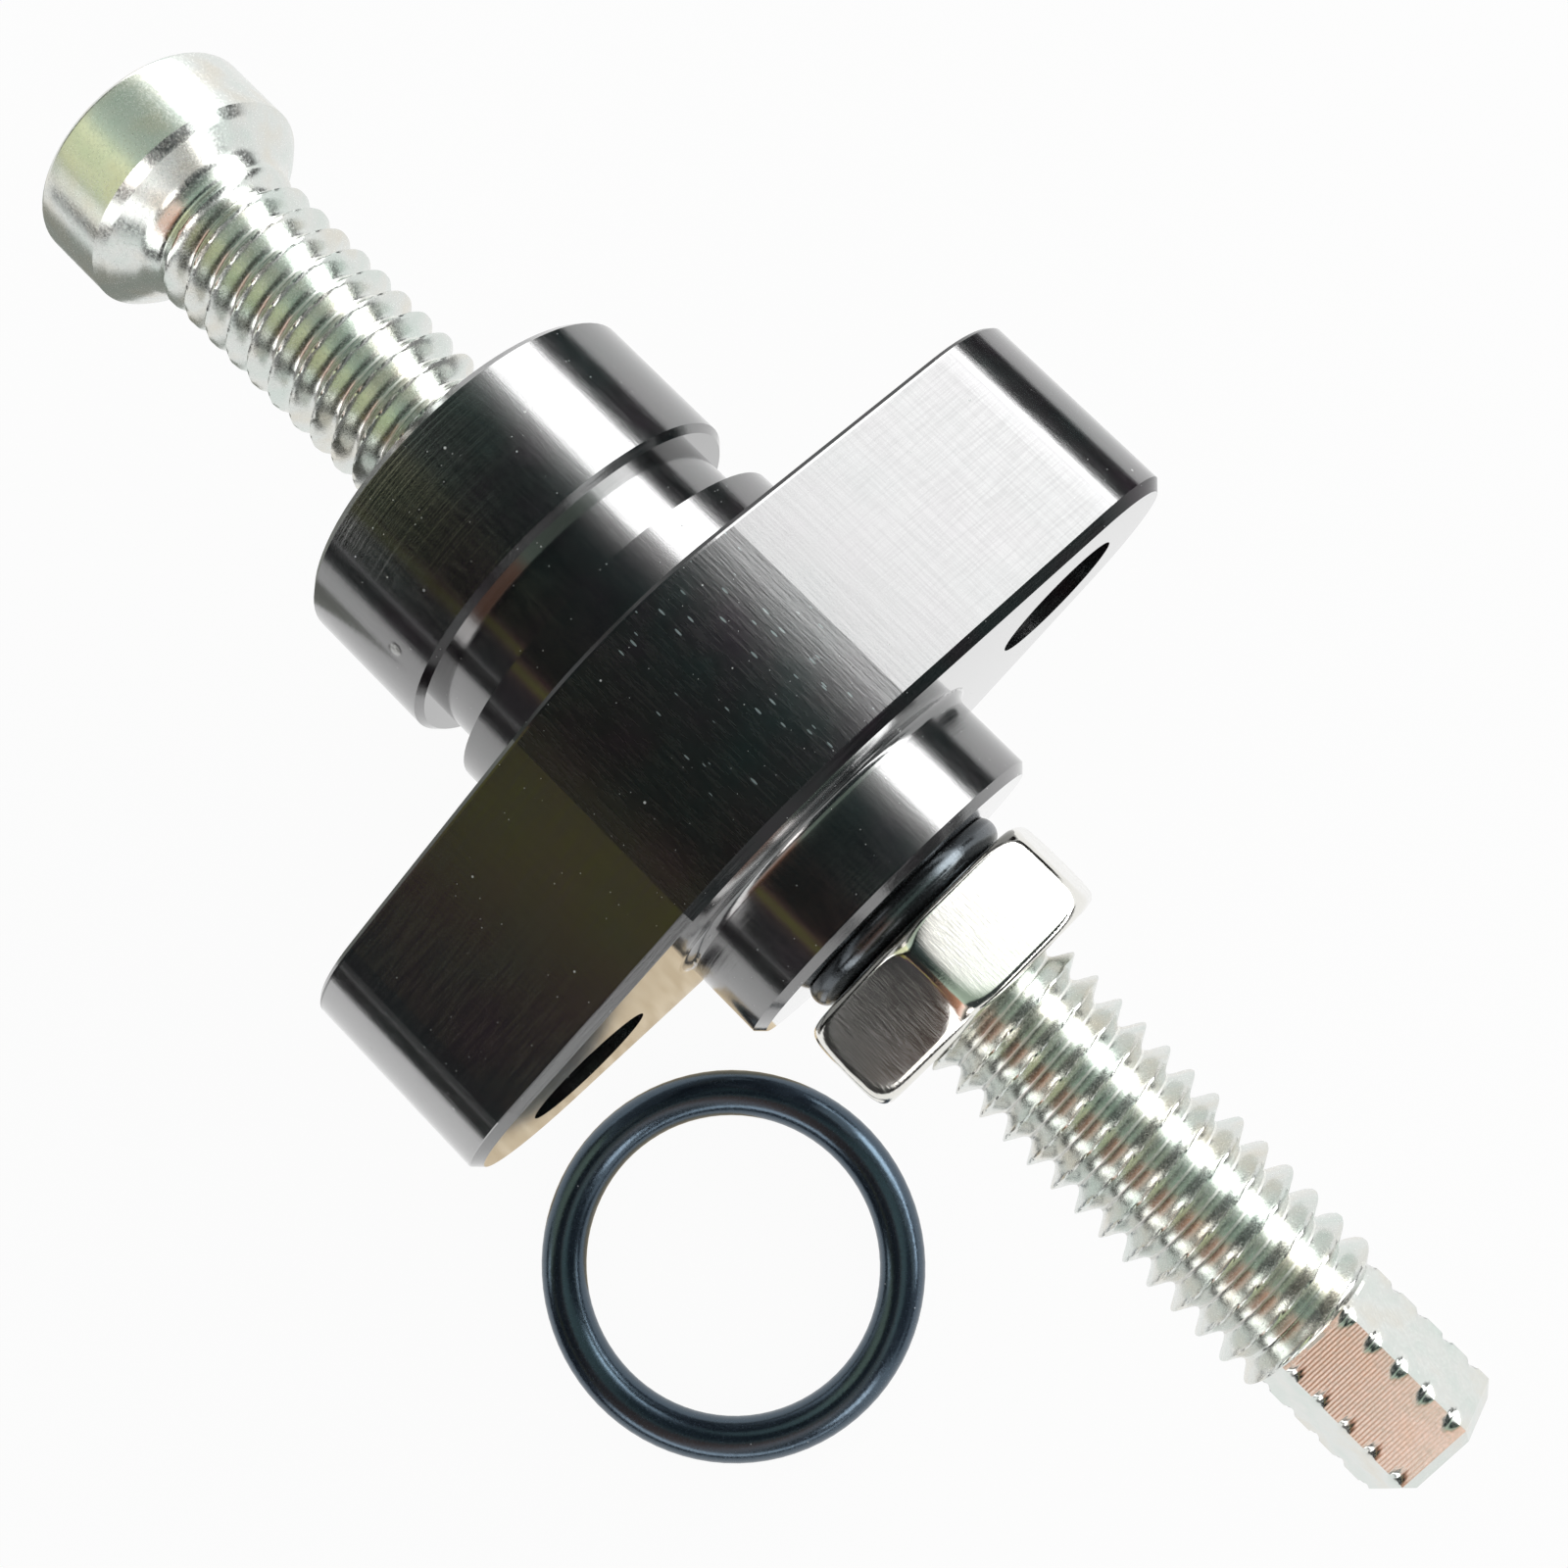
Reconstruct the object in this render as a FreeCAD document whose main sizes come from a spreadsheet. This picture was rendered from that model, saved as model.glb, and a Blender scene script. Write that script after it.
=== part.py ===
import FreeCAD, Part
import Sketcher
import math
import os

# Manual cam chain tensioner, in millimetres.
# X runs along the adjuster, from its round head (-X) to its hexagon tail (+X).
# Y runs from one flange ear to the other, Z is up, and the origin is the middle of the mounting face.

SIZES = [
    # Adjuster thread and the running room round it
    ("thread_major", 7.94),
    ("thread_clearance", 0.05),
    # Front boss, seal groove and locating spigot
    ("boss_diameter", 18.6),
    ("boss_length", 7.1),
    ("boss_front_chamfer", 0.35),
    ("boss_rear_chamfer", 0.3),
    ("groove_diameter", 16.2),
    ("groove_width", 2.85),
    ("spigot_diameter", 18.6),
    ("spigot_length", 2.8),
    ("bore_chamfer", 0.4),
    # Two-eared flange
    ("flange_thickness", 10.1),
    ("flange_middle_radius", 12.6),
    ("ear_radius", 6.65),
    ("mounting_spacing", 29.0),
    ("mounting_hole", 6.5),
    ("flange_front_chamfer", 0.2),
    ("flange_rear_chamfer", 0.45),
    # Rear boss
    ("rear_boss_diameter", 16.5),
    ("rear_boss_length", 4.45),
    ("rear_boss_chamfer", 0.4),
    ("rear_boss_fillet", 0.5),
    # Rubber thread seal, half sunk in a seat in the rear boss and held there by the nut
    ("seal_diameter", 10.9),
    ("seal_thickness", 1.5),
    ("seal_sunk", 0.22),
    ("seal_clearance", 0.05),
    # Lock nut
    ("nut_flats", 12.4),
    ("nut_height", 4.62),
    ("nut_corner_round", 0.4),
    ("nut_face_diameter", 12.1),
    ("nut_chamfer_angle", 30.0),
    ("nut_turn", 7.6),
    # Adjuster head and tail
    ("head_diameter", 11.7),
    ("head_length", 4.05),
    ("head_front_chamfer", 0.2),
    ("head_rear_chamfer", 0.4),
    ("head_under_angle", 30.0),
    ("head_fillet", 1.2),
    ("head_reach", 22.2),
    ("adjuster_length", 81.15),
    ("tail_flats", 6.0),
    ("tail_length", 7.2),
    ("tail_chamfer", 0.53),
    ("tail_turn", 40.0),
    # Loose ring for the seal groove
    ("ring_section", 2.2),
    ("ring_inner", 14.4),
    ("ring_gap", 1.2),
    ("ring_aside", 18.1),
]

# Stations along X that several pieces share, as expressions of the sizes.
BOSS_FRONT = "-(Sizes.spigot_length + Sizes.groove_width + Sizes.boss_length)"
GROOVE_FRONT = "-(Sizes.spigot_length + Sizes.groove_width)"
SPIGOT_FRONT = "-Sizes.spigot_length"
FLANGE_REAR = "Sizes.flange_thickness"
BODY_REAR = f"({FLANGE_REAR} + Sizes.rear_boss_length)"
SEAL_FRONT = f"({BODY_REAR} - Sizes.seal_sunk)"
SEAL_REAR = f"({SEAL_FRONT} + Sizes.seal_thickness)"
NUT_FRONT = f"({SEAL_REAR} + Sizes.seal_clearance)"
NUT_REAR = f"({NUT_FRONT} + Sizes.nut_height)"
HEAD_FRONT = f"({BOSS_FRONT} - Sizes.head_reach)"
HEAD_REAR = f"({HEAD_FRONT} + Sizes.head_length)"
TAIL_END = f"({HEAD_FRONT} + Sizes.adjuster_length)"
TAIL_START = f"({TAIL_END} - Sizes.tail_length)"

SHANK_RADIUS = "Sizes.thread_major / 2"
BORE_RADIUS = "(Sizes.thread_major / 2 + Sizes.thread_clearance)"
# Depth of the 45 degree seat that clears the round outside of the seal by the clearance.
SEAL_SEAT = (
    "(sqrt(2) * (Sizes.seal_thickness / 2 + Sizes.seal_clearance) + Sizes.seal_diameter / 2"
    f" - Sizes.seal_thickness + Sizes.seal_sunk - {BORE_RADIUS})"
)

doc = FreeCAD.newDocument("CamChainTensioner")
sheet = doc.addObject("Spreadsheet::Sheet", "Sizes")


def fill_sheet():
    """Write every driving dimension into the sheet, with its alias beside it."""
    for row, (alias, value) in enumerate(SIZES, start=1):
        sheet.set(f"A{row}", alias)
        sheet.set(f"B{row}", str(value))
        sheet.setAlias(f"B{row}", alias)
    doc.recompute()


def value_of(expression):
    """Number that an expression of the sizes gives now."""
    return float(sheet.evalExpression(expression))


def new_body(label):
    body = doc.addObject("PartDesign::Body", label)
    body.Label = label
    return body


def new_sketch(body, name, role, station=None, turn=None):
    """Sketch on one of the body's origin planes, set off along its normal and turned on it."""
    plane = next(item for item in body.Origin.OriginFeatures if item.Role == role)
    sketch = body.newObject("Sketcher::SketchObject", name)
    sketch.AttachmentSupport = (plane, [""])
    sketch.MapMode = "FlatFace"
    sketch.AttachmentOffset = FreeCAD.Placement(
        FreeCAD.Vector(0, 0, 0), FreeCAD.Rotation(FreeCAD.Vector(0, 0, 1), 0)
    )
    if station is not None:
        sketch.setExpression("AttachmentOffset.Base.z", station)
    if turn is not None:
        sketch.setExpression("AttachmentOffset.Rotation.Angle", turn)
    return sketch


def bind(sketch, constraint, expression):
    """Add a dimension to a sketch and tie it to the sheet."""
    index = sketch.addConstraint(constraint)
    sketch.setExpression(f"Constraints[{index}]", expression)


def place_point(sketch, geometry, end, across, up):
    """Fix one point of a sketch at two expressions, measured from the sketch's origin."""
    for kind, axis, expression in (("DistanceX", -2, across), ("DistanceY", -1, up)):
        if expression == "0":
            sketch.addConstraint(Sketcher.Constraint("PointOnObject", geometry, end, axis))
        else:
            bind(sketch, Sketcher.Constraint(kind, -1, 1, geometry, end, value_of(expression)), expression)


def draw_outline(sketch, corners):
    """Closed straight-sided outline through corners given as pairs of expressions."""
    points = [FreeCAD.Vector(value_of(across), value_of(up), 0) for across, up in corners]
    first = sketch.GeometryCount
    count = len(points)
    for i in range(count):
        sketch.addGeometry(Part.LineSegment(points[i], points[(i + 1) % count]), False)
    for i in range(count):
        following = first + (i + 1) % count
        sketch.addConstraint(Sketcher.Constraint("Coincident", first + i, 2, following, 1))
    for i, (across, up) in enumerate(corners):
        place_point(sketch, first + i, 1, across, up)


def draw_circle(sketch, radius, centre=("0", "0")):
    middle = FreeCAD.Vector(value_of(centre[0]), value_of(centre[1]), 0)
    circle = sketch.addGeometry(Part.Circle(middle, FreeCAD.Vector(0, 0, 1), value_of(radius)), False)
    place_point(sketch, circle, 3, *centre)
    bind(sketch, Sketcher.Constraint("Radius", circle, value_of(radius)), radius)
    return circle


def draw_hexagon(sketch, across_flats):
    """Regular hexagon round the sketch's origin with one corner straight up."""
    corner_radius = f"{across_flats} / sqrt(3)"
    circle = draw_circle(sketch, corner_radius)
    sketch.setConstruction(circle, True)
    radius = value_of(corner_radius)
    sides = 6
    points = []
    for i in range(sides):
        angle = math.pi / 2 + i * 2 * math.pi / sides
        points.append(FreeCAD.Vector(radius * math.cos(angle), radius * math.sin(angle), 0))
    first = sketch.GeometryCount
    for i in range(sides):
        sketch.addGeometry(Part.LineSegment(points[i], points[(i + 1) % sides]), False)
    for i in range(sides):
        following = first + (i + 1) % sides
        sketch.addConstraint(Sketcher.Constraint("Coincident", first + i, 2, following, 1))
        sketch.addConstraint(Sketcher.Constraint("PointOnObject", first + i, 1, circle))
    for i in range(1, sides):
        sketch.addConstraint(Sketcher.Constraint("Equal", first, first + i))
    sketch.addConstraint(Sketcher.Constraint("PointOnObject", first, 1, -2))


def revolve(body, kind, name, sketch):
    """Full turn of a sketch on the XY plane about the X axis, added or cut."""
    feature = body.newObject(kind, name)
    feature.Profile = sketch
    feature.ReferenceAxis = (sketch, ["H_Axis"])
    feature.Angle = 360.0
    return feature


def pad(body, name, sketch, length):
    feature = body.newObject("PartDesign::Pad", name)
    feature.Profile = sketch
    feature.setExpression("Length", length)
    return feature


def pocket_through(body, name, sketch):
    """Cut right through the body, both ways from the sketch."""
    feature = body.newObject("PartDesign::Pocket", name)
    feature.Profile = sketch
    feature.Type = "ThroughAll"
    feature.Midplane = True
    return feature


def edge_names(shape, wanted):
    return [f"Edge{i}" for i, edge in enumerate(shape.Edges, start=1) if wanted(edge)]


def lies_at(edge, station):
    """True where the whole edge lies in the plane X = station."""
    box = edge.BoundBox
    return abs(box.XMin - station) < 1e-6 and abs(box.XMax - station) < 1e-6


def is_circle(edge, radius):
    return isinstance(edge.Curve, Part.Circle) and abs(edge.Curve.Radius - radius) < 1e-6


def is_bore_rim(edge):
    return is_circle(edge, value_of(BORE_RADIUS))


def bore_rim_at(expression):
    """Test for the rim of the bore at one station."""
    station = value_of(expression)
    return lambda edge: is_bore_rim(edge) and lies_at(edge, station)


def dress(body, kind, name, wanted, size):
    """Fillet or chamfer on the edges of the body's last feature that are wanted."""
    doc.recompute()
    base = body.Tip
    feature = body.newObject(kind, name)
    feature.Base = (base, edge_names(base.Shape, wanted))
    feature.setExpression("Radius" if kind.endswith("Fillet") else "Size", size)
    return feature


def draw_flange(sketch):
    """Middle arcs and ear arcs joined by straight flanks, tangent throughout."""
    middle = value_of("Sizes.flange_middle_radius")
    ear = value_of("Sizes.ear_radius")
    half = value_of("Sizes.mounting_spacing / 2")
    taper = math.asin((middle - ear) / half)
    normal = FreeCAD.Vector(0, 0, 1)
    centres = [FreeCAD.Vector(half, 0, 0), FreeCAD.Vector(), FreeCAD.Vector(-half, 0, 0), FreeCAD.Vector()]
    radii = [ear, middle, ear, middle]
    quarter = math.pi / 2
    spans = [
        (taper - quarter, quarter - taper),
        (quarter - taper, quarter + taper),
        (quarter + taper, 3 * quarter - taper),
        (3 * quarter - taper, 3 * quarter + taper),
    ]
    arcs = []
    for centre, radius, (start, stop) in zip(centres, radii, spans):
        circle = Part.Circle(centre, normal, radius)
        arcs.append(sketch.addGeometry(Part.ArcOfCircle(circle, start, stop), False))
    flanks = []
    for i, arc in enumerate(arcs):
        following = arcs[(i + 1) % len(arcs)]
        begin = sketch.getPoint(arc, 2)
        finish = sketch.getPoint(following, 1)
        flanks.append(sketch.addGeometry(Part.LineSegment(begin, finish), False))
    for i, flank in enumerate(flanks):
        following = arcs[(i + 1) % len(arcs)]
        sketch.addConstraint(Sketcher.Constraint("Tangent", arcs[i], 2, flank, 1))
        sketch.addConstraint(Sketcher.Constraint("Tangent", flank, 2, following, 1))
    place_point(sketch, arcs[0], 3, "Sizes.mounting_spacing / 2", "0")
    place_point(sketch, arcs[2], 3, "-Sizes.mounting_spacing / 2", "0")
    for arc in (arcs[1], arcs[3]):
        sketch.addConstraint(Sketcher.Constraint("Coincident", arc, 3, -1, 1))
    bind(sketch, Sketcher.Constraint("Radius", arcs[0], ear), "Sizes.ear_radius")
    bind(sketch, Sketcher.Constraint("Radius", arcs[1], middle), "Sizes.flange_middle_radius")
    sketch.addConstraint(Sketcher.Constraint("Equal", arcs[0], arcs[2]))
    sketch.addConstraint(Sketcher.Constraint("Equal", arcs[1], arcs[3]))


def make_body():
    """Housing: turned bosses, seal groove and spigot, milled flange, bore right through."""
    body = new_body("tensioner_body")
    boss = "Sizes.boss_diameter / 2"
    groove = "Sizes.groove_diameter / 2"
    spigot = "Sizes.spigot_diameter / 2"
    rear = "Sizes.rear_boss_diameter / 2"
    turning = new_sketch(body, "TurnedProfile", "XY_Plane")
    draw_outline(turning, [
        (BOSS_FRONT, "0"),
        (BOSS_FRONT, f"{boss} - Sizes.boss_front_chamfer"),
        (f"{BOSS_FRONT} + Sizes.boss_front_chamfer", boss),
        (f"{GROOVE_FRONT} - Sizes.boss_rear_chamfer", boss),
        (GROOVE_FRONT, f"{boss} - Sizes.boss_rear_chamfer"),
        (GROOVE_FRONT, groove),
        (SPIGOT_FRONT, groove),
        (SPIGOT_FRONT, spigot),
        (f"{FLANGE_REAR} / 2", spigot),
        (f"{FLANGE_REAR} / 2", rear),
        (f"{BODY_REAR} - Sizes.rear_boss_chamfer", rear),
        (BODY_REAR, f"{rear} - Sizes.rear_boss_chamfer"),
        (BODY_REAR, "0"),
    ])
    revolve(body, "PartDesign::Revolution", "Bosses", turning)
    outline = new_sketch(body, "FlangeOutline", "YZ_Plane")
    draw_flange(outline)
    pad(body, "Flange", outline, FLANGE_REAR)
    front_edges = flange_edges("0")
    rear_edges = flange_edges(FLANGE_REAR)
    dress(body, "PartDesign::Chamfer", "FlangeFrontChamfer", front_edges, "Sizes.flange_front_chamfer")
    dress(body, "PartDesign::Chamfer", "FlangeRearChamfer", rear_edges, "Sizes.flange_rear_chamfer")
    foot = value_of(rear)
    station = value_of(FLANGE_REAR)
    dress(
        body, "PartDesign::Fillet", "RearBossFillet",
        lambda edge: lies_at(edge, station) and is_circle(edge, foot), "Sizes.rear_boss_fillet",
    )
    holes = new_sketch(body, "MountingHoles", "YZ_Plane")
    for side in ("", "-"):
        draw_circle(holes, "Sizes.mounting_hole / 2", (f"{side}Sizes.mounting_spacing / 2", "0"))
    pocket_through(body, "MountingBores", holes)
    bore = new_sketch(body, "ThreadBore", "YZ_Plane")
    draw_circle(bore, BORE_RADIUS)
    pocket_through(body, "Bore", bore)
    dress(body, "PartDesign::Chamfer", "BoreLeadIn", bore_rim_at(BOSS_FRONT), "Sizes.bore_chamfer")
    dress(body, "PartDesign::Chamfer", "SealSeat", bore_rim_at(BODY_REAR), SEAL_SEAT)
    return body


def flange_edges(expression):
    """Test for the outer edges of the flange in one of its two faces."""
    station = value_of(expression)
    radii = (value_of("Sizes.flange_middle_radius"), value_of("Sizes.ear_radius"))

    def wanted(edge):
        if not lies_at(edge, station):
            return False
        return isinstance(edge.Curve, Part.Line) or any(is_circle(edge, radius) for radius in radii)

    return wanted


def make_adjuster():
    """Round-headed adjuster with a hexagon milled on its tail; the shank is at the thread's outer size."""
    body = new_body("adjuster_bolt")
    head = "Sizes.head_diameter / 2"
    under = f"({head} - Sizes.head_rear_chamfer)"
    throat = f"({HEAD_REAR} + ({under} - {SHANK_RADIUS}) * tan(Sizes.head_under_angle * 1 deg))"
    turning = new_sketch(body, "TurnedProfile", "XY_Plane")
    draw_outline(turning, [
        (HEAD_FRONT, "0"),
        (HEAD_FRONT, f"{head} - Sizes.head_front_chamfer"),
        (f"{HEAD_FRONT} + Sizes.head_front_chamfer", head),
        (f"{HEAD_REAR} - Sizes.head_rear_chamfer", head),
        (HEAD_REAR, under),
        (throat, SHANK_RADIUS),
        (TAIL_END, SHANK_RADIUS),
        (TAIL_END, "0"),
    ])
    revolve(body, "PartDesign::Revolution", "Blank", turning)
    corner = value_of(throat)
    dress(body, "PartDesign::Fillet", "HeadFillet", lambda edge: lies_at(edge, corner), "Sizes.head_fillet")
    flats = new_sketch(body, "TailFlats", "YZ_Plane", TAIL_START, "Sizes.tail_turn")
    draw_hexagon(flats, "Sizes.tail_flats")
    draw_circle(flats, "max(Sizes.thread_major / 2; Sizes.tail_flats / sqrt(3)) + Sizes.tail_chamfer")
    milled = body.newObject("PartDesign::Pocket", "TailHexagon")
    milled.Profile = flats
    milled.Reversed = True
    milled.setExpression("Length", "Sizes.tail_length")
    end = value_of(TAIL_END)
    dress(body, "PartDesign::Chamfer", "TailBevel", lambda edge: lies_at(edge, end), "Sizes.tail_chamfer")
    return body


def make_nut():
    """Hexagon jam nut with rounded corners and both ends chamfered."""
    body = new_body("lock_nut")
    outline = new_sketch(body, "HexagonOutline", "YZ_Plane", NUT_FRONT, "Sizes.nut_turn")
    draw_hexagon(outline, "Sizes.nut_flats")
    pad(body, "Hexagon", outline, "Sizes.nut_height")
    height = value_of("Sizes.nut_height")
    dress(
        body, "PartDesign::Fillet", "CornerRounds",
        lambda edge: abs(edge.BoundBox.XLength - height) < 1e-6, "Sizes.nut_corner_round",
    )
    face = "Sizes.nut_face_diameter / 2"
    outside = "Sizes.nut_flats / sqrt(3)"
    depth = f"({outside} - {face}) * tan(Sizes.nut_chamfer_angle * 1 deg)"
    cutter = new_sketch(body, "EndChamfers", "XY_Plane")
    draw_outline(cutter, [(NUT_FRONT, face), (NUT_FRONT, outside), (f"{NUT_FRONT} + {depth}", outside)])
    draw_outline(cutter, [(NUT_REAR, face), (NUT_REAR, outside), (f"{NUT_REAR} - {depth}", outside)])
    revolve(body, "PartDesign::Groove", "ChamferedEnds", cutter)
    bore = new_sketch(body, "ThreadBore", "YZ_Plane", NUT_FRONT)
    draw_circle(bore, BORE_RADIUS)
    pocket_through(body, "Bore", bore)
    dress(body, "PartDesign::Chamfer", "BoreLeadIns", is_bore_rim, "Sizes.bore_chamfer")
    return body


def make_thread_seal():
    """Squeezed rubber ring: round outside, flat against its two neighbours and the adjuster."""
    body = new_body("thread_seal")
    section = new_sketch(body, "SealSection", "XY_Plane")
    front = value_of(SEAL_FRONT)
    rear = value_of(SEAL_REAR)
    bore = value_of(BORE_RADIUS)
    half = value_of("Sizes.seal_thickness / 2")
    crown = value_of("(Sizes.seal_diameter - Sizes.seal_thickness) / 2")
    circle = Part.Circle(FreeCAD.Vector(front + half, crown, 0), FreeCAD.Vector(0, 0, 1), half)
    outside = section.addGeometry(Part.ArcOfCircle(circle, 0, math.pi), False)
    foot = [FreeCAD.Vector(front, bore, 0), FreeCAD.Vector(rear, bore, 0)]
    rim = [FreeCAD.Vector(front, crown, 0), FreeCAD.Vector(rear, crown, 0)]
    front_side = section.addGeometry(Part.LineSegment(rim[0], foot[0]), False)
    inside = section.addGeometry(Part.LineSegment(foot[0], foot[1]), False)
    rear_side = section.addGeometry(Part.LineSegment(foot[1], rim[1]), False)
    section.addConstraint(Sketcher.Constraint("Tangent", outside, 2, front_side, 1))
    section.addConstraint(Sketcher.Constraint("Coincident", front_side, 2, inside, 1))
    section.addConstraint(Sketcher.Constraint("Coincident", inside, 2, rear_side, 1))
    section.addConstraint(Sketcher.Constraint("Tangent", rear_side, 2, outside, 1))
    place_point(section, outside, 3, f"{SEAL_FRONT} + Sizes.seal_thickness / 2",
                "(Sizes.seal_diameter - Sizes.seal_thickness) / 2")
    place_point(section, inside, 1, SEAL_FRONT, BORE_RADIUS)
    section.addConstraint(Sketcher.Constraint("Horizontal", inside))
    bind(section, Sketcher.Constraint("Radius", outside, half), "Sizes.seal_thickness / 2")
    revolve(body, "PartDesign::Revolution", "Seal", section)
    return body


def make_base_ring():
    """Rubber ring for the seal groove, lying level with the flange's underside beside the body."""
    ring = doc.addObject("Part::Torus", "base_o_ring")
    ring.Label = "base_o_ring"
    ring.setExpression("Radius1", "(Sizes.ring_inner + Sizes.ring_section) / 2")
    ring.setExpression("Radius2", "Sizes.ring_section / 2")
    ring.setExpression(
        "Placement.Base.x", f"{FLANGE_REAR} + Sizes.ring_gap + Sizes.ring_inner / 2 + Sizes.ring_section"
    )
    ring.setExpression("Placement.Base.y", "-Sizes.ring_aside")
    ring.setExpression("Placement.Base.z", "Sizes.ring_section / 2 - Sizes.flange_middle_radius")
    return ring


def check_document():
    """Stop if any object of the document failed to compute."""
    for item in doc.Objects:
        if "Invalid" in item.State or "Error" in item.State:
            raise RuntimeError(f"{item.Label} failed: {item.State}")


def write_parts(pieces):
    for piece in pieces:
        shape = piece.Shape
        if shape.isNull() or not shape.isValid() or len(shape.Solids) != 1:
            raise RuntimeError(f"{piece.Label} is not one valid solid")
    os.makedirs("parts", exist_ok=True)
    for piece in pieces:
        piece.Shape.exportStep(f"parts/{piece.Label}.step")
        print(piece.Label, "volume", round(piece.Shape.Volume, 3))


fill_sheet()
pieces = [make_body(), make_adjuster(), make_nut(), make_thread_seal(), make_base_ring()]
doc.recompute()
check_document()
write_parts(pieces)
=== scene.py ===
"""Looks of the cam chain tensioner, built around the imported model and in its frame."""
import math
from types import SimpleNamespace

import bpy
from mathutils import Matrix, Vector, noise


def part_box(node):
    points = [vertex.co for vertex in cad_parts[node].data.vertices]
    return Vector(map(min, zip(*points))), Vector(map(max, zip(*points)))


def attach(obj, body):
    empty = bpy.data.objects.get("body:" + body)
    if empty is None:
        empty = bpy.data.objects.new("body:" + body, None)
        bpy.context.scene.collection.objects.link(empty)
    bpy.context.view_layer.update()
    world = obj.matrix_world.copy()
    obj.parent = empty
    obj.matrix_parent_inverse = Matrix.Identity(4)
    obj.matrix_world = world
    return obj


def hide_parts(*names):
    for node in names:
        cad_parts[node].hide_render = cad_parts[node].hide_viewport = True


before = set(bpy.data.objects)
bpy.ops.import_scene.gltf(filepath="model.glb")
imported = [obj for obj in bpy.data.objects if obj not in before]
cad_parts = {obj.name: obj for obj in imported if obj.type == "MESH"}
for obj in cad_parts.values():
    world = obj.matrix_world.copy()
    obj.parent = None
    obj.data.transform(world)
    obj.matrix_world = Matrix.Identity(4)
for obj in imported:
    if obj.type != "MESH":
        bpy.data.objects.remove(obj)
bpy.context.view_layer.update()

MM = 0.001
INCH = 25.4
TURN = 2 * math.pi
SIXTH = TURN / 6
# Degrees between two faces from which their edge stays sharp
SHARP_ANGLE = 38

# Adjuster bolt, in millimetres as in the part's source
HEAD_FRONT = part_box("adjuster_bolt")[0].x / MM
TAIL_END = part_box("adjuster_bolt")[1].x / MM
HEAD_RADIUS = 5.85
HEAD_LENGTH = 4.05
HEAD_REAR = HEAD_FRONT + HEAD_LENGTH
HEAD_FRONT_ROUND = 0.3
HEAD_REAR_CHAMFER = 0.4
HEAD_UNDER_ANGLE = math.radians(38)
HEAD_FILLET = 1.2
NECK_LENGTH = 2.0
NECK_END = HEAD_REAR + NECK_LENGTH
TAIL_LENGTH = 7.2
TAIL_START = TAIL_END - TAIL_LENGTH
TAIL_HALF_FLATS = 3.0
TAIL_FACE_ANGLE = math.radians(100)
# A corner of the hexagon, where the bolt's columns start
TAIL_CORNER_ANGLE = TAIL_FACE_ANGLE - 1.5 * SIXTH
TAIL_BEVEL = 0.53
BOLT_COLUMNS = 90

# Thread, whose groove starts under the head and reaches its full depth after the run-out
THREAD_RADIUS = 3.97
THREADS_TO_THE_INCH = 18
THREAD_PITCH = INCH / THREADS_TO_THE_INCH
THREAD_DEPTH = 0.95
THREAD_TAIL_DEPTH = 0.7
THREAD_CREST_AT = 21.47
THREAD_HALF_CREST = 0.03
THREAD_FLANK = 0.53
THREAD_FREE_LENGTH = 1.1
THREAD_START = HEAD_REAR + THREAD_FREE_LENGTH
THREAD_RUN_OUT = 2.1
# Rounds at the crest and the root, as shares of the depth
THREAD_CREST_ROUND = 0.14
THREAD_ROOT_ROUND = 0.35
# Depth of the thread's wear, and how finely it varies along the axis and around it
WEAR_DEPTH = 0.012
WEAR_ALONG = 1.7
WEAR_AROUND = 6
# Radii between which the plating is painted pale and matt at the bottom of the thread, a painted highlight
# along each groove
THREAD_BOTTOM_HIGHLIGHT = [(3.02, 1.0), (3.05, 0.0)]

# Lock nut, in millimetres
NUT_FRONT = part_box("lock_nut")[0].x / MM
NUT_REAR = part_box("lock_nut")[1].x / MM
NUT_HALF_FLATS = 6.2
NUT_FACE_RADIUS = 6.05
NUT_CORNER_RADIUS = NUT_HALF_FLATS / math.cos(SIXTH / 2)
NUT_CHAMFER_DEPTH = 0.9
# Below 1, so the chamfer is convex
NUT_CHAMFER_POWER = 0.4
NUT_EDGE_ROUND = 0.45
# Power that blends faces and chamfers; a higher one gives harder edges
NUT_HARDNESS = 46
NUT_FACE_ANGLE = math.radians(67.6)
NUT_BORE_RADIUS = 4.02
NUT_BORE_CHAMFER = 0.4
NUT_COLUMNS = 180

# Housing, in millimetres; the flange starts at X = 0
FLANGE_THICKNESS = 10.1
FLANGE_FRONT_EDGE = 0.3
FLANGE_REAR_EDGE = 0.4
FLANGE_TURNED_HALF_WIDTH = 6.0
FLANGE_CORE_RADIUS = 12.0
FLANK_END = 17.9
# X before which the boss's front edge is painted paler, part wear and part painted highlight, and Y past
# which painted glints mark the upper side of the turned middle
WEAR_AND_HIGHLIGHT_BEFORE = -12.2
GLINTS_PAST = -2.0
# Share of the normal along the axis from which a surface counts as an end face
END_FACE_LEAN = 0.95
BOSS_NICK = (-7.58, -7.30, 5.74)
BOSS_NICK_REACH = (0.5, 0.42, 0.5)

# Height of the floor, just below the housing
FLOOR_LEVEL = -12.61


# Mesh building


def ring_points(x, radius_at, angles):
    """Points round the axis at one station; the angle runs from +Y towards +Z."""
    points = []
    for angle in angles:
        radius = radius_at(x, angle)
        points.append((x * MM, radius * math.cos(angle) * MM, radius * math.sin(angle) * MM))
    return points


def end_fan(points, start, count, flipped):
    """Adds a centre point to one end ring; gives the triangles that close it."""
    centre = len(points)
    points.append((points[start][0], 0.0, 0.0))
    faces = []
    for j in range(count):
        k = (j + 1) % count
        side = (start + k, start + j) if flipped else (start + j, start + k)
        faces.append((centre, *side))
    return faces


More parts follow.
